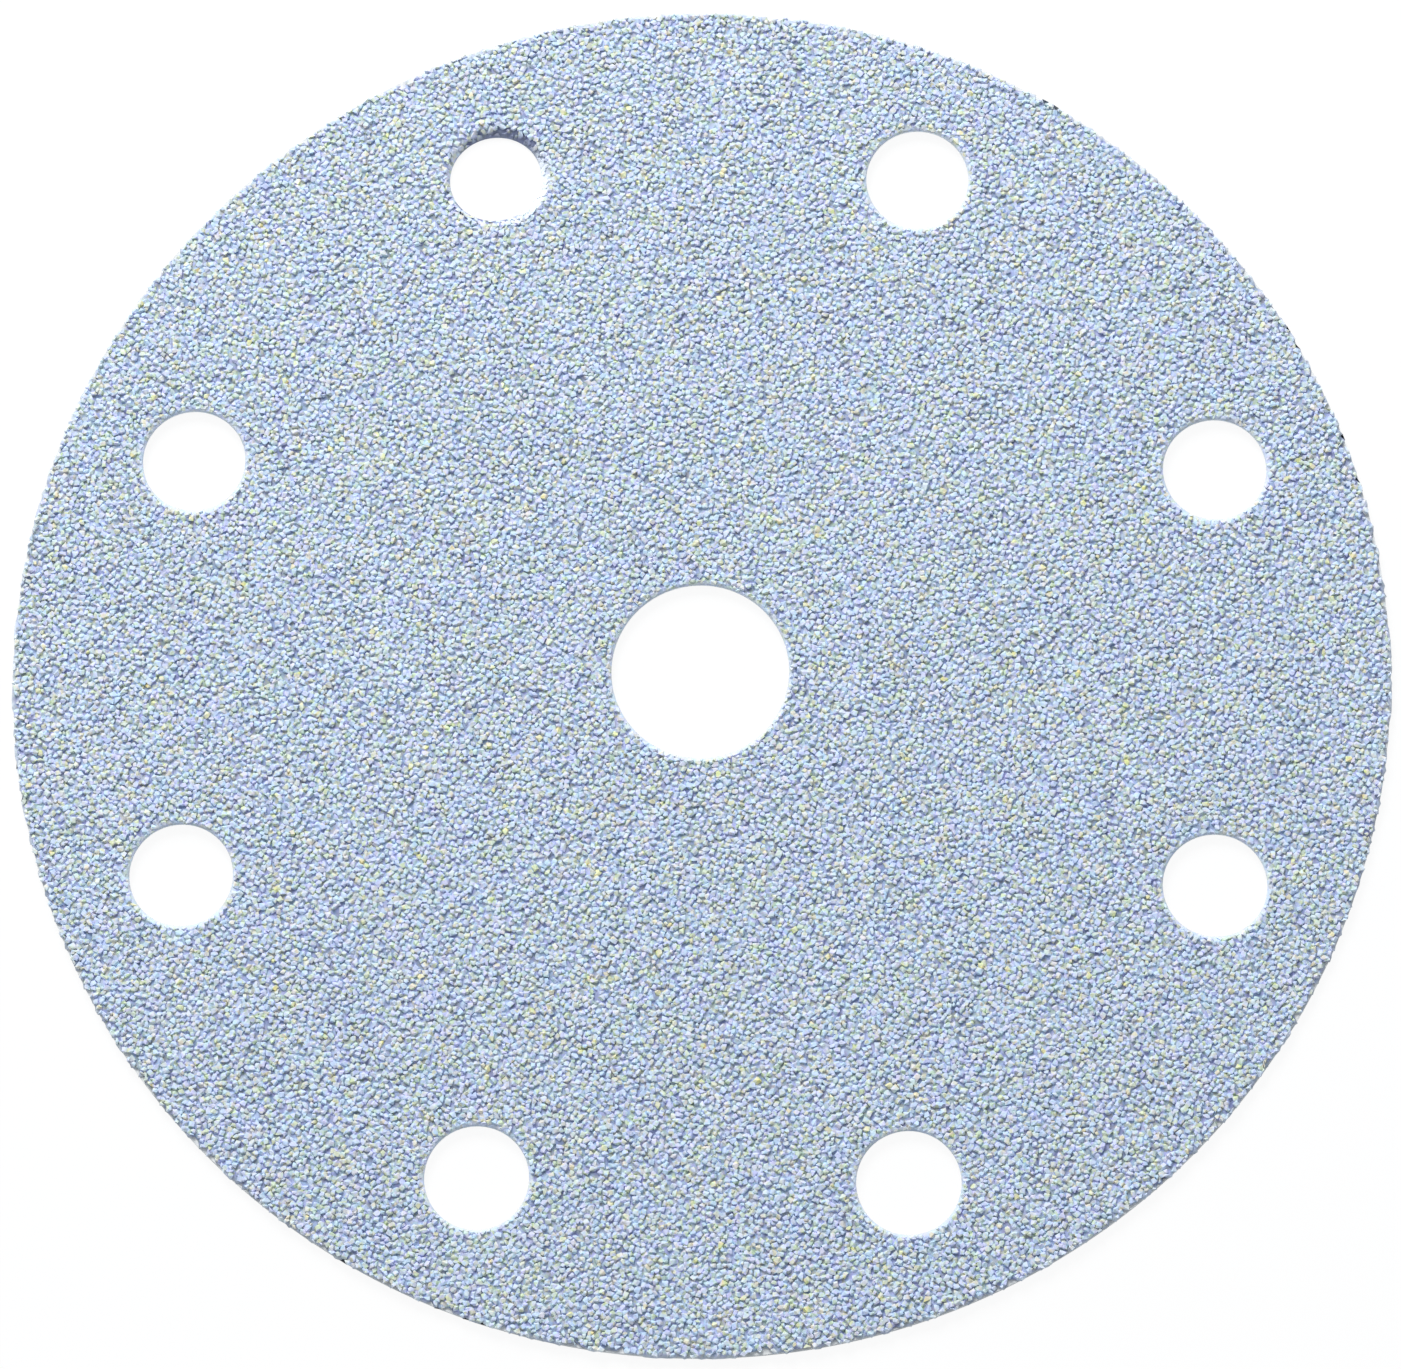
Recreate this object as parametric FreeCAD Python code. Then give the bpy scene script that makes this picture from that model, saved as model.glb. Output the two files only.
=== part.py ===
"""Fibre sanding disc: a die-cut round sheet of coated abrasive, one solid.

The disc lies on its back with the grain up. The origin is the centre of the back
face, +Z leaves the grain side, +X is right and +Y is up in the disc's face view.
Eight dust holes lie round a larger centre hole. The die rolled every cut edge over
on the grain side, and it pushed the rim of one dust hole down into its opening,
which left that hole small, oval and off its place.
"""
import FreeCAD, Part

import math
import os

# Sheet
DISC_DIAMETER = 149.0
BACKING_THICKNESS = 0.8
COAT_THICKNESS = 0.6

# Centre hole
CENTRE_HOLE_DIAMETER = 19.2

# Dust holes, evenly spaced a land inside the rim and numbered anticlockwise from 1
DUST_HOLE_COUNT = 8
DUST_HOLE_DIAMETER = 11.2
RIM_LAND = 8.9
FIRST_DUST_HOLE_ANGLE = 22.5

# Roll-over on the grain side of each cut edge: how wide it is, and how far it turns down
# from the face before the die shears the wall
RIM_ROLL_WIDTH = 0.35
HOLE_ROLL_WIDTH = 0.4
ROLL_ANGLE = 60.0

# The dust hole with the pushed-in rim: a round mouth that narrows to an oval throat
PUSHED_HOLE_NUMBER = 3
PUSHED_MOUTH_MARGIN = 0.25
THROAT_LENGTH = 10.1
THROAT_WIDTH = 9.5
THROAT_TURN = 18.5
THROAT_SHIFT_X = -0.35
THROAT_SHIFT_Y = -0.08
THROAT_WALL = 0.45
LIP_STEEPENING = 1.5
LIP_SECTIONS = 5

# How far a cutter stands clear of the faces that it passes through
CUTTER_REACH = 1.0

SHEET_THICKNESS = BACKING_THICKNESS + COAT_THICKNESS
DUST_CIRCLE_DIAMETER = DISC_DIAMETER - 2 * RIM_LAND - DUST_HOLE_DIAMETER
ORIGIN = FreeCAD.Vector(0, 0, 0)
UP = FreeCAD.Vector(0, 0, 1)


def at(radius, height):
    """A point of a turned section, in the XZ plane."""
    return FreeCAD.Vector(radius, 0, height)


def roll_over(face_radius, width, way):
    """Three points on a roll-over from the face down to the wall, outward for way 1, inward for -1."""
    roll_radius = width / math.sin(math.radians(ROLL_ANGLE))
    points = []
    for share in (0, 0.5, 1):
        turn = math.radians(ROLL_ANGLE * share)
        drop = roll_radius * (1 - math.cos(turn))
        points.append(at(face_radius + way * roll_radius * math.sin(turn), SHEET_THICKNESS - drop))
    return points


def turned(roll_points, straight_points):
    """The solid of revolution of a section: a roll-over, then straight sides back to its start."""
    roll = Part.Arc(*roll_points).toShape()
    sides = Part.makePolygon([roll_points[-1]] + straight_points + [roll_points[0]]).Edges
    section = Part.Face(Part.Wire([roll] + sides))
    return section.revolve(ORIGIN, UP, 360)


def sheet_blank():
    """The disc before its holes, its grain edge rolled over by the die."""
    radius = DISC_DIAMETER / 2
    roll = roll_over(radius - RIM_ROLL_WIDTH, RIM_ROLL_WIDTH, 1)
    return turned(roll, [at(radius, 0), at(0, 0), at(0, SHEET_THICKNESS)])


def punch(diameter):
    """What a round die takes out: a straight wall, and a rolled edge on the grain side."""
    radius = diameter / 2
    mouth_radius = radius + HOLE_ROLL_WIDTH
    foot = -CUTTER_REACH
    top = SHEET_THICKNESS + CUTTER_REACH
    roll = roll_over(mouth_radius, HOLE_ROLL_WIDTH, -1)
    return turned(roll, [at(radius, foot), at(0, foot), at(0, top), at(mouth_radius, top)])


def oval(length, width, shift_x, shift_y, height):
    """A level oval wire: a circle stretched to its length and width, turned, and shifted."""
    stretch = FreeCAD.Matrix()
    stretch.scale(length / 2, width / 2, 1)
    outline = Part.makeCircle(1).transformGeometry(stretch)
    outline.rotate(ORIGIN, UP, THROAT_TURN)
    outline.translate(FreeCAD.Vector(shift_x, shift_y, height))
    return Part.Wire(outline.Edges)


def pushed_punch():
    """What is open in the pushed-in dust hole: round at the grain face, oval at the back.

    The lip leaves the grain face level and steepens down to the throat, as a rim does
    that a blunt die bent into the hole. It is widest where the throat is shifted away.
    """
    mouth = DUST_HOLE_DIAMETER + 2 * PUSHED_MOUTH_MARGIN
    lip_depth = SHEET_THICKNESS - THROAT_WALL
    sections = []
    for number in range(LIP_SECTIONS):
        inward = number / (LIP_SECTIONS - 1)
        section = oval(
            mouth + (THROAT_LENGTH - mouth) * inward,
            mouth + (THROAT_WIDTH - mouth) * inward,
            THROAT_SHIFT_X * inward,
            THROAT_SHIFT_Y * inward,
            SHEET_THICKNESS - lip_depth * inward**LIP_STEEPENING,
        )
        sections.append(section)
    lip = Part.makeLoft(sections, True)
    throat_foot = oval(THROAT_LENGTH, THROAT_WIDTH, THROAT_SHIFT_X, THROAT_SHIFT_Y, -CUTTER_REACH)
    throat = Part.Face(throat_foot).extrude(UP * (CUTTER_REACH + THROAT_WALL))
    return lip.fuse(throat)


def placed_on_dust_circle(cutter, number):
    """The cutter moved to a numbered place on the dust circle, with its own turn kept."""
    angle = math.radians(FIRST_DUST_HOLE_ANGLE + (number - 1) * 360 / DUST_HOLE_COUNT)
    radius = DUST_CIRCLE_DIAMETER / 2
    moved = cutter.copy()
    moved.translate(FreeCAD.Vector(radius * math.cos(angle), radius * math.sin(angle), 0))
    return moved


def sanding_disc():
    """The whole disc: the blank with its centre hole and its ring of dust holes."""
    disc = sheet_blank().cut(punch(CENTRE_HOLE_DIAMETER))
    for number in range(1, DUST_HOLE_COUNT + 1):
        pushed = number == PUSHED_HOLE_NUMBER
        cutter = pushed_punch() if pushed else punch(DUST_HOLE_DIAMETER)
        disc = disc.cut(placed_on_dust_circle(cutter, number))
    return disc


os.makedirs("parts", exist_ok=True)
disc = sanding_disc()
print("valid", disc.isValid(), "solids", len(disc.Solids), "volume mm3", round(disc.Volume, 1))
disc.Solids[0].exportStep("parts/sanding_disc.step")
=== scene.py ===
import math
import random

import bmesh
import bpy
import numpy as np
from mathutils import Matrix, Vector, kdtree, noise


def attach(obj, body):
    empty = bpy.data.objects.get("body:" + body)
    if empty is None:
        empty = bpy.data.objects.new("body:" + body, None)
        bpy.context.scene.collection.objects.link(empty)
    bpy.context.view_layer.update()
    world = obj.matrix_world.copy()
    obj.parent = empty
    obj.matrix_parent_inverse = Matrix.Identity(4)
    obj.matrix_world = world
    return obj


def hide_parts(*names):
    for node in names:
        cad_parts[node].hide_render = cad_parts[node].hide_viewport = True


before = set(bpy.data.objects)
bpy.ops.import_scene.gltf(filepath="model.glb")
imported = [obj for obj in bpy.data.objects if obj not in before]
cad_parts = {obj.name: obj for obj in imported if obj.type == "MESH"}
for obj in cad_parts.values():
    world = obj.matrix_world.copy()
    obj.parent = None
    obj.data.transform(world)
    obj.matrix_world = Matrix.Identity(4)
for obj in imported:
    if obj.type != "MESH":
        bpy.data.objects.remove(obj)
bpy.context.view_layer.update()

MM = 0.001

# The sheet and its cut edges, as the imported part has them
DISC_RADIUS = 74.5 * MM
SHEET_THICKNESS = 1.4 * MM
BACKING_THICKNESS = 0.8 * MM
CENTRE_HOLE_RADIUS = 9.6 * MM
DUST_HOLE_RADIUS = 5.6 * MM
DUST_CIRCLE_RADIUS = 60.0 * MM
DUST_HOLE_COUNT = 8
FIRST_DUST_HOLE_ANGLE = math.radians(22.5)
RIM_ROLL_WIDTH = 0.35 * MM
HOLE_ROLL_WIDTH = 0.4 * MM
ROLL_ANGLE = math.radians(60)

# The dust hole whose rim is pushed in, and the lip that leads down to its oval throat
PUSHED_HOLE_NUMBER = 3
MOUTH_RADIUS = 5.85 * MM
THROAT_HALF_LENGTH = 5.05 * MM
THROAT_HALF_WIDTH = 4.75 * MM
THROAT_TURN = math.radians(18.5)
THROAT_SHIFT = Vector((-0.35 * MM, -0.08 * MM))
THROAT_WALL = 0.45 * MM
LIP_STEEPENING = 1.5
LIP_SEARCH_STEPS = 14

# Grain: the radii of its sieve fractions, largest first, and how many places are tried for each
GRAIN_FRACTIONS = ((0.42 * MM, 60000), (0.36 * MM, 120000), (0.30 * MM, 240000), (0.25 * MM, 200000))
GRAIN_SIZE_SPREAD = 0.08

# How near two grains stand, as a share of both radii, and the seed of all that is random
GRAIN_CROWDING = 0.68
GRAIN_SEED = 36

# How far a grain leans and stretches, how far its tip may end under the face, with a power that keeps
# most tips near it, and how high its foot stands in the resin
GRAIN_TILT = math.radians(14)
GRAIN_STRETCH = 0.18
TIP_SPREAD = 0.14 * MM
TIP_POWER = 1.5
GRAIN_FOOT = 0.84 * MM

# How far the grains' centres, and then their corners, keep off a cut edge
CUT_CLEARANCE = 0.10 * MM
CUT_SETBACK = 0.015 * MM

# The grain is one piece for each of these sectors of the disc
GRAIN_SECTORS = 8

# How many shapes of grain there are, and their corners in rings from foot to tip: how many, how far
# out, and their lowest and highest place, all for a grain one unit wide and one high
GRAIN_SHAPES = 40
GRAIN_RINGS = ((3, 0.62, -0.05, 0.05), (4, 0.60, 0.45, 0.90), (3, 0.40, 0.88, 1.00))
CORNER_WANDER = 0.30

# Resin between the grains: how deep it lies under the face, and how far it creeps up the nearest
# grains, over a reach in grain radii
RESIN_DEPTH = 0.45 * MM
RESIN_CREEP = 0.20 * MM
CREEP_REACH = 1.25
CREEP_GRAINS = 3
RESIN_RIPPLE = 0.02 * MM

# The grid that the resin is made from, the share of a cell within which corners on a cut edge are
# merged, and how often and how far the corners beside them are smoothed
COAT_CELL = 0.60 * MM
EDGE_MERGE = 0.3
EDGE_SMOOTHING = 3
SMOOTHING_STEP = 0.5

# How far beside each hole the die pressed the grain flat, and how deep
PRESSED_BAND = 0.45 * MM
PRESSED_DEPTH = 0.12 * MM

# How the die chipped grain off the rim: a noise of this pitch gives the share of this depth, and it
# is mostly under a third
RAGGED_RIM = 1.4 * MM
RAGGED_PITCH = 0.6 * MM

# Where the die crushed the coat to pale dust: beside the holes and along the rim
HOLE_SCUFF = 0.4
RIM_SCUFF = 0.8
RIM_SCUFF_BAND = 0.5 * MM

# The pushed-in lip: how far its grain is pressed flat, the direction in which it is painted palest, as a
# painted highlight where it faces the light, how much less painted light it gets across from there, and how
# far down the lip that paint is full
LIP_PRESSED = 0.4
LIP_HIGHLIGHT_ANGLE = math.radians(-12)
FAR_LIP_LIGHT = 0.25
FULL_LIP_PAINT_INWARD = 0.5

# To the left of that direction the lip is painted with shade: its coat's colour is read as this much deeper,
# dark and a little dusty between its grains, which have only some of the tints. To the right there is less of
# that painted shade
LIP_SHADE_DEPTH = 0.55 * MM
LIP_SHADE_DUST = 0.22
LESSER_LIP_SHADE = 0.4
LIP_TINTS = (0.55, 0.90)

# Fibre backing: cut back a little under the coat, lapping up into it, and eased along its lower edge
BACKING_INSET = 0.18 * MM
BACKING_LAP = 0.06 * MM
EASED_EDGE = 0.05 * MM
EASED_SEGMENTS = 2
RIM_SEGMENTS = 480
HOLE_SEGMENTS = 96

# The layers of the backing's wall, and how far and how finely they slipped as they were cut
WALL_LAYERS = 4
LAYER_SLIP = 0.03 * MM
LAYER_PITCH = 0.8 * MM


# Where the sheet is cut, and how high its grain face stands

def dust_hole_centre(number):
    """The centre of a dust hole, numbered anticlockwise from 1."""
    angle = FIRST_DUST_HOLE_ANGLE + (number - 1) * math.tau / DUST_HOLE_COUNT
    return Vector((math.cos(angle), math.sin(angle))) * DUST_CIRCLE_RADIUS


PUSHED_HOLE = dust_hole_centre(PUSHED_HOLE_NUMBER)
ROUND_HOLES = [(Vector((0, 0)), CENTRE_HOLE_RADIUS)]
for number in range(1, DUST_HOLE_COUNT + 1):
    if number != PUSHED_HOLE_NUMBER:
        ROUND_HOLES.append((dust_hole_centre(number), DUST_HOLE_RADIUS))


def oval_reach(point, inward):
    """How far a point lies from the middle of the lip's oval at that share inward, with the oval at 1."""
    from_middle = point - PUSHED_HOLE - THROAT_SHIFT * inward
    half_length = MOUTH_RADIUS + (THROAT_HALF_LENGTH - MOUTH_RADIUS) * inward
    half_width = MOUTH_RADIUS + (THROAT_HALF_WIDTH - MOUTH_RADIUS) * inward
    along = from_middle.x * math.cos(THROAT_TURN) + from_middle.y * math.sin(THROAT_TURN)
    across = from_middle.y * math.cos(THROAT_TURN) - from_middle.x * math.sin(THROAT_TURN)
    return math.hypot(along / half_length, across / half_width)


def lip_inward(point):
    """How far down the pushed-in lip a point lies, from 0 at the mouth to 1 at the throat."""
    if (point - PUSHED_HOLE).length >= MOUTH_RADIUS:
        return 0.0
    if oval_reach(point, 1) <= 1:
        return 1.0
    low = 0.0
    high = 1.0
    for _ in range(LIP_SEARCH_STEPS):
        middle = (low + high) / 2
        if oval_reach(point, middle) < 1:
            low = middle
        else:
            high = middle
    return low


def rim_gap(point):
    """The distance from a point of the sheet to its rim."""
    return DISC_RADIUS - point.length


def round_hole_gap(point):
    """The distance from a point of the sheet to the nearest sound hole."""
    return min((point - centre).length - radius for centre, radius in ROUND_HOLES)


def mouth_gap(point):
    """The distance from a point of the sheet to the mouth of the pushed-in hole, negative on its lip."""
    return (point - PUSHED_HOLE).length - MOUTH_RADIUS


def roll_drop(gap, width):
    """How far the die's roll-over lowers the face at that gap from a cut edge."""
    if gap >= width:
        return 0.0
    roll_radius = width / math.sin(ROLL_ANGLE)
    inset = width - max(gap, 0)
    return roll_radius - math.sqrt(roll_radius**2 - inset**2)


def face_height(point):
    """The height of the grain face at a point: full in the open, less on rolled edges and on the lip."""
    if mouth_gap(point) < 0:
        return SHEET_THICKNESS - (SHEET_THICKNESS - THROAT_WALL) * lip_inward(point) ** LIP_STEEPENING
    drop = roll_drop(rim_gap(point), RIM_ROLL_WIDTH) + roll_drop(round_hole_gap(point), HOLE_ROLL_WIDTH)
    return SHEET_THICKNESS - drop


def settled(point, height):
    """Where a height in the flat coat comes to lie at a point: the hard coat thins less than the fibre."""
    face = face_height(point)
    return face - (SHEET_THICKNESS - height) * math.sqrt(face / SHEET_THICKNESS)


def rise(height):
    """A height in the flat coat as a share of the way from the grains' feet to their tips."""
    return (height - GRAIN_FOOT) / (SHEET_THICKNESS - GRAIN_FOOT)


def pressed(point):
    """How far the grain is pressed flat at a point: 1 beside a sound hole and on the lip, 0 in the open."""
    if mouth_gap(point) < 0:
        return LIP_PRESSED * lip_inward(point)
    return max(1 - round_hole_gap(point) / PRESSED_BAND, 0.0)


def lip_bearing(point):
    """The direction of a point from the pushed-in hole, as an angle from where its lip is painted palest as a
    highlight.
    """
    out = point - PUSHED_HOLE
    return math.atan2(out.y, out.x) - LIP_HIGHLIGHT_ANGLE


def dust_and_painted_light(point):
    """How pale the coat is at a point, from 0 to 1: dust that the die crushed beside the holes and along the
    rim, and painted light on the pushed-in lip.
    """
    if mouth_gap(point) < 0:
        # On the lip the pale is painted light: a painted highlight towards the light, less across from it,
        # and a little dust in its painted shade
        near = math.cos(lip_bearing(point))
        share = near**2 if near > 0 else FAR_LIP_LIGHT * near**2
        down = min(lip_inward(point) / FULL_LIP_PAINT_INWARD, 1.0)
        return down * max(share, LIP_SHADE_DUST * math.sin(lip_bearing(point)))
    at_rim = max(1 - rim_gap(point) / RIM_SCUFF_BAND, 0.0)
    return max(HOLE_SCUFF * pressed(point), RIM_SCUFF * at_rim)


def painted_shade_depth(point):
    """How much deeper the coat's colour reads at a point on the lip, as painted shade."""
    if mouth_gap(point) < 0:
        left = math.sin(lip_bearing(point))
        return LIP_SHADE_DEPTH * lip_inward(point) * (left if left > 0 else -LESSER_LIP_SHADE * left)
    return 0.0


def rim_radius(point):
    """The radius of the coat's rim in the direction of a point, where the die chipped some grain away."""
    chip = abs(noise.noise(Vector((point.x, point.y, 0)).normalized() * DISC_RADIUS / RAGGED_PITCH))
    return DISC_RADIUS - RAGGED_RIM * chip


def on_throat(point):
    """The point of the throat's oval in the direction of a point from its middle."""
    middle = PUSHED_HOLE + THROAT_SHIFT
    return middle + (point - middle) / oval_reach(point, 1)


def kept_on_sheet(point, setback):
    """A point, moved to stand back from the cut edge if it lies past it."""
    limit = rim_radius(point) - setback
    if point.length > limit:
        return point.normalized() * limit
    if mouth_gap(point) < 0:
        edge = on_throat(point)
        outward = (edge - PUSHED_HOLE).normalized() * setback
        return edge + outward if oval_reach(point - outward, 1) < 1 else point
    for centre, radius in ROUND_HOLES:
        out = point - centre
        if out.length < radius + setback:
            return centre + out.normalized() * (radius + setback)
    return point


def nearest_cut(point):
    """The nearest point of a cut edge."""
    edges = [point.normalized() * rim_radius(point), on_throat(point)]
    for centre, radius in ROUND_HOLES:
        edges.append(centre + (point - centre).normalized() * radius)
    return min(edges, key=lambda edge: (edge - point).length)


def off_sheet(point):
    """True for a point beyond the rim or inside a hole."""
    return rim_gap(point) < 0 or round_hole_gap(point) < 0 or oval_reach(point, 1) < 1


# Grains

def finished(bm, name):
    """A shape that is done, as a mesh."""
    mesh = bpy.data.meshes.new(name)
    bm.to_mesh(mesh)
    bm.free()
    return mesh


def scattered_grains(rng):
    """The centre and radius of each grain, the largest placed first and none far over another."""
    cell = 2 * GRAIN_FRACTIONS[0][0] * (1 + GRAIN_SIZE_SPREAD)
    taken = {}
    grains = []
    for radius, tries in GRAIN_FRACTIONS:
        for _ in range(tries):
            point = Vector((rng.uniform(-DISC_RADIUS, DISC_RADIUS), rng.uniform(-DISC_RADIUS, DISC_RADIUS)))
            size = radius * rng.uniform(1 - GRAIN_SIZE_SPREAD, 1 + GRAIN_SIZE_SPREAD)
            if rim_gap(point) < CUT_CLEARANCE:
                continue
            column = math.floor(point.x / cell)
            row = math.floor(point.y / cell)
            near = [
                grain
                for beside in (-1, 0, 1)
                for above in (-1, 0, 1)
                for grain in taken.get((column + beside, row + above), ())
            ]
            if any((point - other).length < (size + width) * GRAIN_CROWDING for other, width in near):
                continue
            if off_sheet(point) or round_hole_gap(point) < CUT_CLEARANCE:
                continue
            if point.length > rim_radius(point) - CUT_CLEARANCE:
                continue
            taken.setdefault((column, row), []).append((point, size))
            grains.append((point, size))
    return grains


def grain_shape(rng):
    """A crushed mineral grain one unit across: the hull of rough rings of corners, widest at its foot."""
    bm = bmesh.new()
    for count, reach, lowest, highest in GRAIN_RINGS:
        start = rng.uniform(0, math.tau)
        for number in range(count):
            angle = start + (number + rng.uniform(-CORNER_WANDER, CORNER_WANDER)) * math.tau / count
            radius = reach * rng.uniform(1 - CORNER_WANDER, 1)
            place = (radius * math.cos(angle), radius * math.sin(angle), rng.uniform(lowest, highest))
            bmesh.ops.create_vert(bm, co=place)
    hull = bmesh.ops.convex_hull(bm, input=bm.verts)
    buried = [part for part in hull["geom_interior"] if isinstance(part, bmesh.types.BMVert)]
    bmesh.ops.delete(bm, geom=buried, context="VERTS")
    bmesh.ops.recalc_face_normals(bm, faces=bm.faces)
    return finished(bm, "grain_shape")


def grain_matrix(rng, point, radius, shape):
    """A grain's place on the flat sheet: turned and tilted, its foot in the resin, its tip near the face."""
    tip = SHEET_THICKNESS - TIP_SPREAD * rng.random() ** TIP_POWER
    stretch = rng.uniform(1 - GRAIN_STRETCH, 1 + GRAIN_STRETCH)
    turn = Matrix.Rotation(rng.uniform(0, math.tau), 4, "Z")
    lean = Matrix.Rotation(rng.gauss(0, GRAIN_TILT), 4, "X")
    size = Matrix.Diagonal((2 * radius * stretch, 2 * radius / stretch, tip - GRAIN_FOOT, 1))
    placed = turn @ lean @ size
    top = max((placed @ corner.co).z for corner in shape.vertices)
    return Matrix.Translation((point.x, point.y, tip - top)) @ placed


def press_grain(grain, looks):
    """Cuts a grain off at the cut edge, presses it down with the sheet, and notes how each corner looks."""
    for corner in grain.vertices:
        place = kept_on_sheet(corner.co.xy, CUT_SETBACK)
        height = corner.co.z - PRESSED_DEPTH * pressed(place) * rise(corner.co.z)
        # On the lip the colour's rise is lowered, as painted shade
        looks["rise"].append(rise(corner.co.z - painted_shade_depth(place)))
        looks["dust_and_light"].append(dust_and_painted_light(place))
        corner.co = (place.x, place.y, settled(place, height))


def grain_sector(number, grains, shapes, rng):
    """All the grains whose centres lie in one sector, as one mesh that holds what their material reads."""
    bm = bmesh.new()
    looks = {"tint": [], "rise": [], "dust_and_light": []}
    reach = 2 * GRAIN_FRACTIONS[0][0]
    for point, radius in grains:
        shape = rng.choice(shapes)
        grain = shape.copy()
        grain.transform(grain_matrix(rng, point, radius, shape))
        if min(rim_gap(point), round_hole_gap(point), mouth_gap(point)) < reach:
            press_grain(grain, looks)
        else:
            looks["rise"].extend(rise(corner.co.z) for corner in grain.vertices)
            looks["dust_and_light"].extend([0.0] * len(shape.vertices))
        bm.from_mesh(grain)
        bpy.data.meshes.remove(grain)
        tint = rng.uniform(*LIP_TINTS) if mouth_gap(point) < 0 else rng.random()
        looks["tint"].extend([tint] * len(shape.vertices))
    mesh = finished(bm, f"grain_sector_{number}")
    for name, values in looks.items():
        mesh.attributes.new(name, "FLOAT", "POINT").data.foreach_set("value", values)
    return mesh


# Resin coat

def coat_height(point, tree, radii):
    """The height of the resin in the flat coat: low between grains, up each grain, and high where pressed."""
    creep = 0.0
    for _, index, distance in tree.find_n((point.x, point.y, 0), CREEP_GRAINS):
        creep = max(creep, 1 - distance / (radii[index] * CREEP_REACH))
    depth = RESIN_DEPTH - RESIN_CREEP * creep
    depth += (PRESSED_DEPTH - depth) * pressed(point)
    depth += RESIN_RIPPLE * noise.noise(Vector((point.x, point.y, 0)) / COAT_CELL)
    return SHEET_THICKNESS - depth


def resin_coat(grains):
    """The resin as a closed shell: a fine grid trimmed to the cut edges, raised round each grain."""
    tree = kdtree.KDTree(len(grains))
    for index, (point, _) in enumerate(grains):
        tree.insert((point.x, point.y, 0), index)
    tree.balance()
    radii = [radius for _, radius in grains]
    bm = bmesh.new()
    dust_and_light_layer = bm.verts.layers.float.new("dust_and_light")
    rise_layer = bm.verts.layers.float.new("rise")
    cells = round(2 * DISC_RADIUS / COAT_CELL)
    bmesh.ops.create_grid(bm, x_segments=cells, y_segments=cells, size=DISC_RADIUS)
    cut_away = [face for face in bm.faces if off_sheet(face.calc_center_median().xy)]
    bmesh.ops.delete(bm, geom=cut_away, context="FACES")
    edge_verts = [vert for vert in bm.verts if vert.is_boundary]
    for vert in edge_verts:
        vert.co.xy = nearest_cut(vert.co.xy)
    bmesh.ops.remove_doubles(bm, verts=edge_verts, dist=COAT_CELL * EDGE_MERGE)
    beside = {
        vert
        for edge_vert in bm.verts
        if edge_vert.is_boundary
        for face in edge_vert.link_faces
        for vert in face.verts
        if not vert.is_boundary
    }
    for _ in range(EDGE_SMOOTHING):
        bmesh.ops.smooth_vert(bm, verts=list(beside), factor=SMOOTHING_STEP, use_axis_x=True, use_axis_y=True)
    for vert in bm.verts:
        place = vert.co.xy
        height = coat_height(place, tree, radii)
        vert[dust_and_light_layer] = dust_and_painted_light(place)
        # On the lip the colour's rise is lowered, as painted shade
        vert[rise_layer] = rise(height - painted_shade_depth(place))
        vert.co.z = settled(place, height)
    edges = [edge for edge in bm.edges if edge.is_boundary]
    wall = bmesh.ops.extrude_edge_only(bm, edges=edges)["geom"]
    for part in wall:
        if isinstance(part, bmesh.types.BMVert):
            # The coat's cut walls are painted wholly pale: painted light over their shade
            part[dust_and_light_layer] = 1.0
            part.co.z = settled(part.co.xy, BACKING_THICKNESS)
    foot = [part for part in wall if isinstance(part, bmesh.types.BMEdge) and part.is_boundary]
    bmesh.ops.triangle_fill(bm, edges=foot, use_beauty=True)
    bmesh.ops.recalc_face_normals(bm, faces=bm.faces)
    mesh = finished(bm, "resin_coat")
    mesh.shade_smooth()
    return mesh


# Fibre backing

def fibre_backing():
    """The backing: its outline and holes filled as one face, then raised in slightly slipped layers."""
    bm = bmesh.new()
    bmesh.ops.create_circle(bm, radius=DISC_RADIUS - BACKING_INSET, segments=RIM_SEGMENTS)
    for centre, radius in ROUND_HOLES:
        hole = bmesh.ops.create_circle(bm, radius=radius + BACKING_INSET, segments=HOLE_SEGMENTS)
        bmesh.ops.translate(bm, verts=hole["verts"], vec=centre.to_3d())
    throat = bmesh.ops.create_circle(bm, radius=1, segments=HOLE_SEGMENTS)
    stretch = Matrix.Diagonal((THROAT_HALF_LENGTH + BACKING_INSET, THROAT_HALF_WIDTH + BACKING_INSET, 1, 1))
    turn = Matrix.Rotation(THROAT_TURN, 4, "Z")
    place = Matrix.Translation((PUSHED_HOLE + THROAT_SHIFT).to_3d())
    bmesh.ops.transform(bm, verts=throat["verts"], matrix=place @ turn @ stretch)
    outline = bm.edges[:]
    bmesh.ops.triangle_fill(bm, edges=outline, use_beauty=True)
    level = outline
    for layer in range(1, WALL_LAYERS + 1):
        painted_shade_rise = bmesh.ops.extrude_edge_only(bm, edges=level)["geom"]
        for part in painted_shade_rise:
            if isinstance(part, bmesh.types.BMVert):
                point = part.co.xy
                slip = LAYER_SLIP * noise.noise(Vector((point.x, point.y, layer)) / LAYER_PITCH)
                part.co.xy = point + point.normalized() * slip
                part.co.z = settled(point, BACKING_THICKNESS + BACKING_LAP) * layer / WALL_LAYERS
        level = [part for part in painted_shade_rise if isinstance(part, bmesh.types.BMEdge) and part.is_boundary]
    bmesh.ops.triangle_fill(bm, edges=level, use_beauty=True)
    bmesh.ops.recalc_face_normals(bm, faces=bm.faces)
    bmesh.ops.bevel(
        bm,
        geom=outline,
        offset=EASED_EDGE,
        offset_type="OFFSET",
        affect="EDGES",
        segments=EASED_SEGMENTS,
        profile=0.5,
        material=-1,
    )
    return finished(bm, "fibre_backing")


# Maps for baking: how far a face's normal points away before it is hidden, and the share of the map
# in which hidden faces are parked
TURNED_AWAY = -0.5
PARKED_SHARE = 0.08


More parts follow.
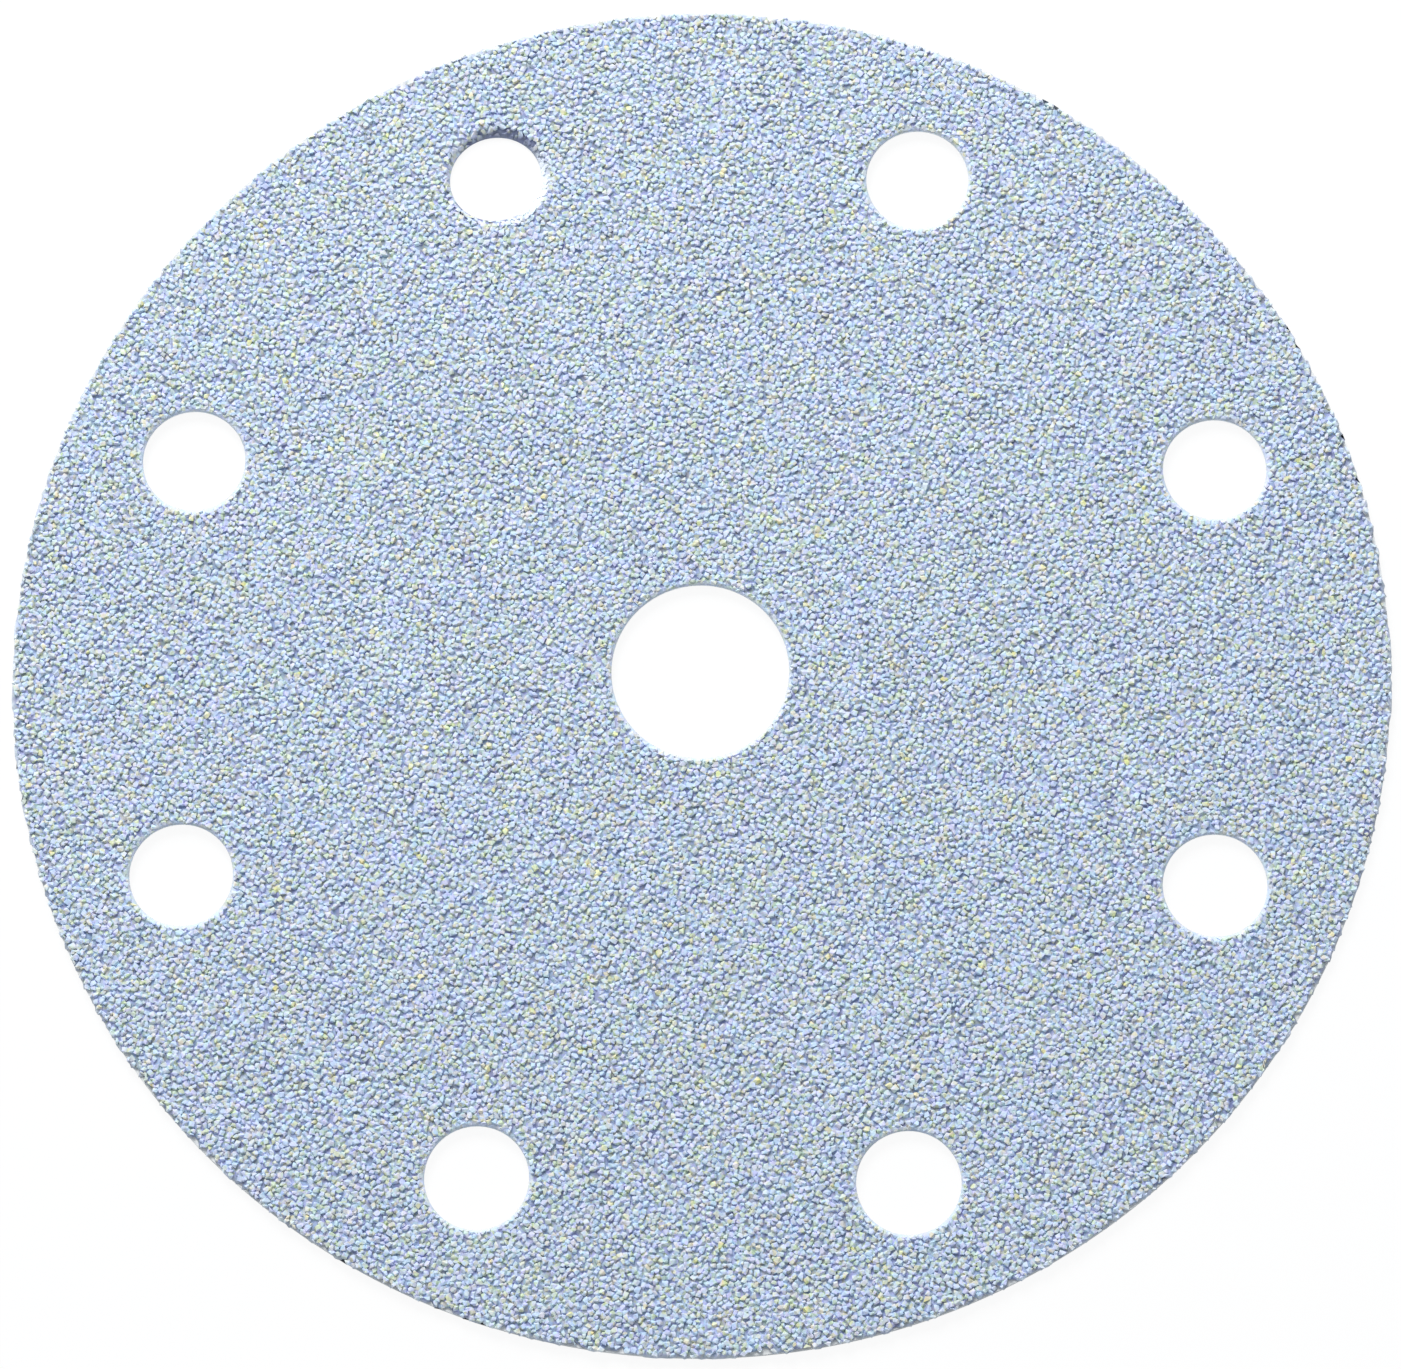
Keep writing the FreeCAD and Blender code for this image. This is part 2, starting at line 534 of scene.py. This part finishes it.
def add_bake_map(mesh, up, turn):
    """A flat map of a piece seen from above (up 1) or below (up -1), its walls folded outwards.

    Faces turned away from that side are hidden, and are parked small in a free corner.
    """
    corners = np.zeros(len(mesh.loops), np.int32)
    mesh.loops.foreach_get("vertex_index", corners)
    places = np.zeros(len(mesh.vertices) * 3)
    mesh.vertices.foreach_get("co", places)
    places = places.reshape(-1, 3)[corners]
    normals = np.zeros(len(mesh.polygons) * 3)
    mesh.polygons.foreach_get("normal", normals)
    corner_counts = np.zeros(len(mesh.polygons), np.int32)
    mesh.polygons.foreach_get("loop_total", corner_counts)
    normals = np.repeat(normals.reshape(-1, 3), corner_counts, axis=0)
    folded = places[:, :2] + normals[:, :2] * np.abs(SHEET_THICKNESS - places[:, 2:])
    turned = folded @ np.array(Matrix.Rotation(turn, 2))
    turned -= turned.min(axis=0)
    turned /= turned.max(axis=0)
    hidden = normals[:, 2] * up < TURNED_AWAY
    turned[hidden] *= PARKED_SHARE
    mesh.uv_layers.new(name="OFBake").data.foreach_set("uv", turned.ravel())


# Materials

def material(name):
    """A new material with its nodes, and its Principled shader."""
    made = bpy.data.materials.new(name)
    made.use_nodes = True
    return made, made.node_tree.nodes["Principled BSDF"]


def node(tree, kind, inputs=(), **settings):
    """A node of that kind, with its settings, and its inputs set or linked by name or number."""
    made = tree.nodes.new(kind)
    for name, value in settings.items():
        setattr(made, name, value)
    for name, value in dict(inputs).items():
        if isinstance(value, bpy.types.NodeSocket):
            tree.links.new(value, made.inputs[name])
        else:
            made.inputs[name].default_value = value
    return made


def arithmetic(tree, operation, first, second, clamp=False):
    """The result of a sum on two values, each a socket or a number."""
    made = node(tree, "ShaderNodeMath", {0: first, 1: second}, operation=operation, use_clamp=clamp)
    return made.outputs[0]


def ramp(tree, factor, stops):
    """A colour ramp's colour output, its stops given as (position, colour)."""
    made = node(tree, "ShaderNodeValToRGB", {"Fac": factor})
    elements = made.color_ramp.elements
    for position, _ in stops[1:-1]:
        elements.new(position)
    for element, (position, colour) in zip(elements, stops):
        element.position = position
        element.color = (*colour, 1)
    return made.outputs["Color"]


def mix(tree, factor, first, second, blend="MIX"):
    """The colour output of a mix of two colours, each a socket or a colour."""
    made = node(tree, "ShaderNodeMix", {0: factor}, data_type="RGBA", blend_type=blend)
    for number, colour in ((6, first), (7, second)):
        if isinstance(colour, bpy.types.NodeSocket):
            tree.links.new(colour, made.inputs[number])
        else:
            made.inputs[number].default_value = (*colour, 1)
    return made.outputs[2]


def spread(tree, value, low, high, from_low=0.0, from_high=1.0):
    """A value's span stretched or narrowed to another, and held inside it."""
    inputs = {"Value": value, "From Min": from_low, "From Max": from_high, "To Min": low, "To Max": high}
    return node(tree, "ShaderNodeMapRange", inputs).outputs["Result"]


def group(name, inputs, outputs):
    """An empty shader group with named sockets: its tree, and its input and output nodes."""
    tree = bpy.data.node_groups.new(name, "ShaderNodeTree")
    for direction, sockets in (("INPUT", inputs), ("OUTPUT", outputs)):
        for label, kind in sockets:
            tree.interface.new_socket(label, in_out=direction, socket_type=kind)
    return tree, tree.nodes.new("NodeGroupInput"), tree.nodes.new("NodeGroupOutput")


# The mottle: the detail of its specks, and the sums of clouds and specks at which it is 0 and 1
SPECK_DETAIL = 3
MOTTLE_SPAN = (0.6, 1.4)


def mottle_group():
    """Cloudy patches with finer specks in them, as a value about 0.5."""
    tree, given, result = group(
        "mottle",
        (
            ("Position", "NodeSocketVector"),
            ("Cloud Scale", "NodeSocketFloat"),
            ("Speck Scale", "NodeSocketFloat"),
        ),
        (("Value", "NodeSocketFloat"),),
    )
    place = given.outputs["Position"]
    clouds = node(tree, "ShaderNodeTexNoise", {"Vector": place, "Scale": given.outputs["Cloud Scale"]})
    specks = node(tree, "ShaderNodeTexNoise", {
        "Vector": place, "Scale": given.outputs["Speck Scale"], "Detail": SPECK_DETAIL,
    })
    joined = arithmetic(tree, "ADD", clouds.outputs["Fac"], specks.outputs["Fac"])
    tree.links.new(spread(tree, joined, 0.0, 1.0, *MOTTLE_SPAN), result.inputs["Value"])
    return tree


# The size of the crystals that the mineral is made of, the casts between which their hue varies, and
# how rare the warm ones are: 1 for even shares, more for fewer
CRYSTAL = 0.42 * MM
COOL_CAST = (0.92, 0.98, 0.97)
WARM_CAST = (1.0, 0.98, 0.53)
GREEN_CAST = (0.85, 1.0, 0.93)
PINK_CAST = (1.0, 0.91, 1.0)
WARM_RARITY = 2

# The painted shade on the coat low down between the grains, deep blue where shade falls, and the rise from
# where it is full to where it ends
PAINTED_GAP_SHADE = (0.10, 0.12, 0.28)
NO_CAST = (1.0, 1.0, 1.0)
PAINTED_SHADE_SPAN = (0.08, 0.50)

# How far the mottle shades the coat and varies its roughness, and the pale dust, which on the lip and the cut
# walls is painted light: its colour, how unevenly it lies, and its roughness
COAT_SHADES = (0.88, 1.06)
COAT_ROUGHNESS = (0.45, 0.75)
DUST_AND_PAINTED_LIGHT_COLOUR = (0.88, 0.94, 0.98)
DUST_AND_LIGHT_PATCHES = (0.6, 1.4)
DUST_ROUGHNESS = 0.9


def coat_group():
    """The skin of grain and resin alike: mottled, each crystal with its own hue, and painted shade, deep
    blue, low down between the grains.

    Where the die scuffed it, it is crushed to pale dull dust; on the pushed-in lip and on the cut walls the
    same pale is painted light.
    """
    tree, given, result = group(
        "coat_skin",
        (("Colour", "NodeSocketColor"), ("Mottle", "NodeSocketFloat"), ("Position", "NodeSocketVector")),
        (("Colour", "NodeSocketColor"), ("Roughness", "NodeSocketFloat")),
    )
    mottle = given.outputs["Mottle"]
    painted_shade_rise = node(tree, "ShaderNodeAttribute", attribute_name="rise").outputs["Fac"]
    crystals = node(tree, "ShaderNodeTexVoronoi", {"Vector": given.outputs["Position"], "Scale": 1 / CRYSTAL})
    hues = node(tree, "ShaderNodeSeparateColor", {"Color": crystals.outputs["Color"]})
    warmth = arithmetic(tree, "POWER", hues.outputs["Blue"], WARM_RARITY)
    casts = (
        # The first cast is painted shade: deep blue low down between the grains
        mix(tree, spread(tree, painted_shade_rise, 0.0, 1.0, *PAINTED_SHADE_SPAN), PAINTED_GAP_SHADE, NO_CAST),
        mix(tree, warmth, COOL_CAST, WARM_CAST),
        mix(tree, hues.outputs["Green"], GREEN_CAST, PINK_CAST),
        spread(tree, mottle, *COAT_SHADES),
    )
    colour = given.outputs["Colour"]
    for cast in casts:
        colour = mix(tree, 1.0, colour, cast, "MULTIPLY")
    # Pale dust, and painted light on the lip and the cut walls
    dust_and_light_value = node(tree, "ShaderNodeAttribute", attribute_name="dust_and_light").outputs["Fac"]
    patchy = spread(tree, mottle, *DUST_AND_LIGHT_PATCHES)
    dust_and_light_mask = arithmetic(tree, "MULTIPLY", dust_and_light_value, patchy, clamp=True)
    tree.links.new(mix(tree, dust_and_light_mask, colour, DUST_AND_PAINTED_LIGHT_COLOUR), result.inputs["Colour"])
    gloss = spread(tree, mottle, *COAT_ROUGHNESS)
    dull = node(tree, "ShaderNodeMix", {"Factor": dust_and_light_mask, 2: gloss, 3: DUST_ROUGHNESS})
    tree.links.new(dull.outputs[0], result.inputs["Roughness"])
    return tree


def add_mottle(tree, where, cloud_scale, speck_scale):
    """A node with the mottle at its own scales."""
    return node(tree, "ShaderNodeGroup", {
        "Position": where, "Cloud Scale": cloud_scale, "Speck Scale": speck_scale,
    }, node_tree=bpy.data.node_groups["mottle"])


def add_bump(tree, shader, height, distance, strength):
    """A bump from a height, fed to the shader."""
    bump = node(tree, "ShaderNodeBump", {"Height": height, "Distance": distance, "Strength": strength})
    tree.links.new(bump.outputs["Normal"], shader.inputs["Normal"])


def coat_material(name, cloud_scale, speck_scale, bump_height):
    """A material with the coat's skin, and the skin's socket for its colour."""
    made, shader = material(name)
    tree = made.node_tree
    where = node(tree, "ShaderNodeTexCoord").outputs["Object"]
    mottle = add_mottle(tree, where, cloud_scale, speck_scale)
    skin = node(tree, "ShaderNodeGroup", {
        "Mottle": mottle.outputs["Value"], "Position": where,
    }, node_tree=bpy.data.node_groups["coat_skin"])
    tree.links.new(skin.outputs["Colour"], shader.inputs["Base Color"])
    tree.links.new(skin.outputs["Roughness"], shader.inputs["Roughness"])
    add_bump(tree, shader, mottle.outputs["Value"], bump_height, COAT_BUMP_STRENGTH)
    return made, skin.inputs["Colour"]


# The mottle's scales on grain, resin and fibre board, as patches and specks in a metre, and how high
# it or the board's strands stand as a bump
GRAIN_CLOUDS = 1400
GRAIN_SPECKS = 4200
GRAIN_BUMP = 0.05 * MM
RESIN_CLOUDS = 700
RESIN_SPECKS = 2600
RESIN_BUMP = 0.06 * MM
BOARD_CLOUDS = 90
BOARD_SPECKS = 1500
BOARD_BUMP = 0.05 * MM
COAT_BUMP_STRENGTH = 0.8
BOARD_BUMP_STRENGTH = 0.5

# Grain colours in the order of the tint, from the bluest to the rare yellow ones
GRAIN_COLOURS = (
    (0.00, (0.66, 0.71, 1.00)),
    (0.15, (0.68, 0.73, 1.00)),
    (0.35, (0.69, 0.75, 0.99)),
    (0.52, (0.70, 0.76, 0.99)),
    (0.68, (0.73, 0.74, 0.98)),
    (0.85, (0.74, 0.76, 0.96)),
    (0.97, (0.78, 0.78, 0.90)),
    (0.99, (0.83, 0.80, 0.77)),
    (1.00, (0.87, 0.81, 0.56)),
)
RESIN_COLOUR = (0.62, 0.67, 0.96)


def grain_material():
    """Mineral grain: each grain has its own tint."""
    made, colour = coat_material("mineral_grain", GRAIN_CLOUDS, GRAIN_SPECKS, GRAIN_BUMP)
    tree = made.node_tree
    tint = node(tree, "ShaderNodeAttribute", attribute_name="tint").outputs["Fac"]
    tree.links.new(ramp(tree, tint, GRAIN_COLOURS), colour)
    return made


def resin_material():
    """Resin coat between the grains: one blue, under broader mottling."""
    made, colour = coat_material("resin_coat", RESIN_CLOUDS, RESIN_SPECKS, RESIN_BUMP)
    colour.default_value = (*RESIN_COLOUR, 1)
    return made


# Fibre board: its colours from the hollows to the crests of its strands, how the strands of each
# direction are drawn out, their detail, and how much their lines curl
BOARD_COLOURS = (
    (0.42, (0.66, 0.67, 0.67)),
    (0.60, (0.75, 0.76, 0.75)),
    (0.72, (0.83, 0.83, 0.81)),
)
STRAND_SCALES = ((260, 2400, 9000), (2400, 260, 9000))
STRAND_DETAIL = 2
STRAND_CURL = 0.9

# How far the mottle shades the board and varies its roughness
BOARD_SHADES = (0.90, 1.04)
BOARD_ROUGHNESS = (0.55, 0.8)


def fibre_material():
    """Vulcanised fibre: a hard pale board of matted fibres, with its layers showing on the cut edges."""
    made, shader = material("vulcanised_fibre")
    tree = made.node_tree
    where = node(tree, "ShaderNodeTexCoord").outputs["Object"]
    mottle = add_mottle(tree, where, BOARD_CLOUDS, BOARD_SPECKS).outputs["Value"]
    strands = []
    for scale in STRAND_SCALES:
        laid = node(tree, "ShaderNodeMapping", {"Vector": where, "Scale": scale})
        strands.append(node(tree, "ShaderNodeTexNoise", {
            "Vector": laid.outputs["Vector"],
            "Scale": 1.0,
            "Detail": STRAND_DETAIL,
            "Distortion": STRAND_CURL,
        }).outputs["Fac"])
    crossed = arithmetic(tree, "MAXIMUM", *strands)
    board = ramp(tree, crossed, BOARD_COLOURS)
    colour = mix(tree, 1.0, board, spread(tree, mottle, *BOARD_SHADES), "MULTIPLY")
    tree.links.new(colour, shader.inputs["Base Color"])
    tree.links.new(spread(tree, mottle, *BOARD_ROUGHNESS), shader.inputs["Roughness"])
    add_bump(tree, shader, crossed, BOARD_BUMP, BOARD_BUMP_STRENGTH)
    return made


# Making the pieces

def in_scene(name, data):
    """A new object in the scene."""
    made = bpy.data.objects.new(name, data)
    bpy.context.scene.collection.objects.link(made)
    return made


def piece(mesh, surface):
    """A piece of the disc: its mesh with one material, riding on the part in place of the CAD sheet."""
    made = in_scene(mesh.name, mesh)
    mesh.materials.append(surface)
    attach(made, "root")
    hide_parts("sanding_disc")
    return made


mottle_group()
coat_group()
rng = random.Random(GRAIN_SEED)
grains = scattered_grains(rng)
shapes = [grain_shape(rng) for _ in range(GRAIN_SHAPES)]
mineral = grain_material()
sectors = [[] for _ in range(GRAIN_SECTORS)]
for point, radius in grains:
    share = (math.atan2(point.y, point.x) / math.tau) % 1
    sectors[int(share * GRAIN_SECTORS)].append((point, radius))
for number, sector in enumerate(sectors, 1):
    mesh = grain_sector(number, sector, shapes, rng)
    add_bake_map(mesh, up=1, turn=(number - 0.5) * math.tau / GRAIN_SECTORS)
    piece(mesh, mineral)
mesh = resin_coat(grains)
add_bake_map(mesh, up=1, turn=0)
piece(mesh, resin_material())
mesh = fibre_backing()
add_bake_map(mesh, up=-1, turn=0)
piece(mesh, fibre_material())


# Floor, light and camera

# A pale floor, just clear of the disc
FLOOR_GAP = 0.02 * MM
FLOOR_HALF_WIDTH = 1.5
FLOOR_COLOUR = (0.94, 0.94, 0.94, 1)
FLOOR_ROUGHNESS = 0.9
WHITE = (1, 1, 1, 1)

# The share of the floor that the camera sees as plain white, which leaves the rest to the shadow
FLOOR_GLOW = 0.92

# Light from all round, and one large soft lamp from beyond the disc, in metres and watts
FILL_COLOUR = (0.86, 0.92, 1.0, 1)
FILL_STRENGTH = 0.49
KEY_AZIMUTH = math.radians(108)
KEY_ELEVATION = math.radians(41)
KEY_DISTANCE = 0.9
KEY_WIDTH = 0.45
KEY_POWER = 9.0

bm = bmesh.new()
bmesh.ops.create_grid(bm, x_segments=1, y_segments=1, size=FLOOR_HALF_WIDTH)
bmesh.ops.translate(bm, verts=bm.verts, vec=(0, 0, -FLOOR_GAP))
floor = in_scene("floor", finished(bm, "floor"))

floor_paint, floor_shader = material("floor_paint")
floor_shader.inputs["Base Color"].default_value = FLOOR_COLOUR
floor_shader.inputs["Roughness"].default_value = FLOOR_ROUGHNESS
tree = floor_paint.node_tree
glow = node(tree, "ShaderNodeEmission", {"Color": WHITE, "Strength": 1.0})
path = node(tree, "ShaderNodeLightPath")
seen = arithmetic(tree, "MULTIPLY", path.outputs["Is Camera Ray"], FLOOR_GLOW)
mixed = node(tree, "ShaderNodeMixShader", {0: seen, 1: floor_shader.outputs[0], 2: glow.outputs[0]})
tree.links.new(mixed.outputs[0], tree.nodes["Material Output"].inputs["Surface"])
floor.data.materials.append(floor_paint)

world = bpy.data.worlds.new("studio")
bpy.context.scene.world = world
world.use_nodes = True
tree = world.node_tree
path = node(tree, "ShaderNodeLightPath")
fill = tree.nodes["Background"]
fill.inputs["Color"].default_value = FILL_COLOUR
fill.inputs["Strength"].default_value = FILL_STRENGTH
white = node(tree, "ShaderNodeBackground", {"Color": WHITE, "Strength": 1.0})
seen = path.outputs["Is Camera Ray"]
mixed = node(tree, "ShaderNodeMixShader", {0: seen, 1: fill.outputs[0], 2: white.outputs[0]})
tree.links.new(mixed.outputs[0], tree.nodes["World Output"].inputs["Surface"])

lamp = bpy.data.lights.new("key_light", "AREA")
lamp.size = KEY_WIDTH
lamp.energy = KEY_POWER
key_light = in_scene("key_light", lamp)
away = Vector((
    math.cos(KEY_AZIMUTH) * math.cos(KEY_ELEVATION),
    math.sin(KEY_AZIMUTH) * math.cos(KEY_ELEVATION),
    math.sin(KEY_ELEVATION),
))
key_light.location = away * KEY_DISTANCE
key_light.rotation_euler = away.to_track_quat("Z", "Y").to_euler()

# The photograph's frame: its width in pixels, the focal length in those pixels, the turn that lays the
# disc as the camera sees it, and then the disc's place before the camera
PHOTO_WIDTH = 1401
FOCAL_PIXELS = 7126
SENSOR_WIDTH = 36.0
NEAREST_SEEN = 0.01
FARTHEST_SEEN = 10
CAMERA_TURN = (
    Matrix.Rotation(math.radians(-12.75), 3, "X")
    @ Matrix.Rotation(math.radians(-1.37), 3, "Y")
    @ Matrix.Rotation(math.radians(-0.85), 3, "Z")
)
CAMERA_SHIFT = Vector((0.0, 1.2 * MM, -769.7 * MM))

lens = bpy.data.cameras.new("camera")
lens.sensor_width = SENSOR_WIDTH
lens.lens = FOCAL_PIXELS / PHOTO_WIDTH * SENSOR_WIDTH
lens.clip_start = NEAREST_SEEN
lens.clip_end = FARTHEST_SEEN
camera = in_scene("camera", lens)
back_turn = CAMERA_TURN.transposed()
camera.matrix_world = Matrix.Translation(back_turn @ -CAMERA_SHIFT) @ back_turn.to_4x4()
bpy.context.scene.camera = camera
bpy.context.scene.view_settings.view_transform = "Standard"

bpy.context.view_layer.update()
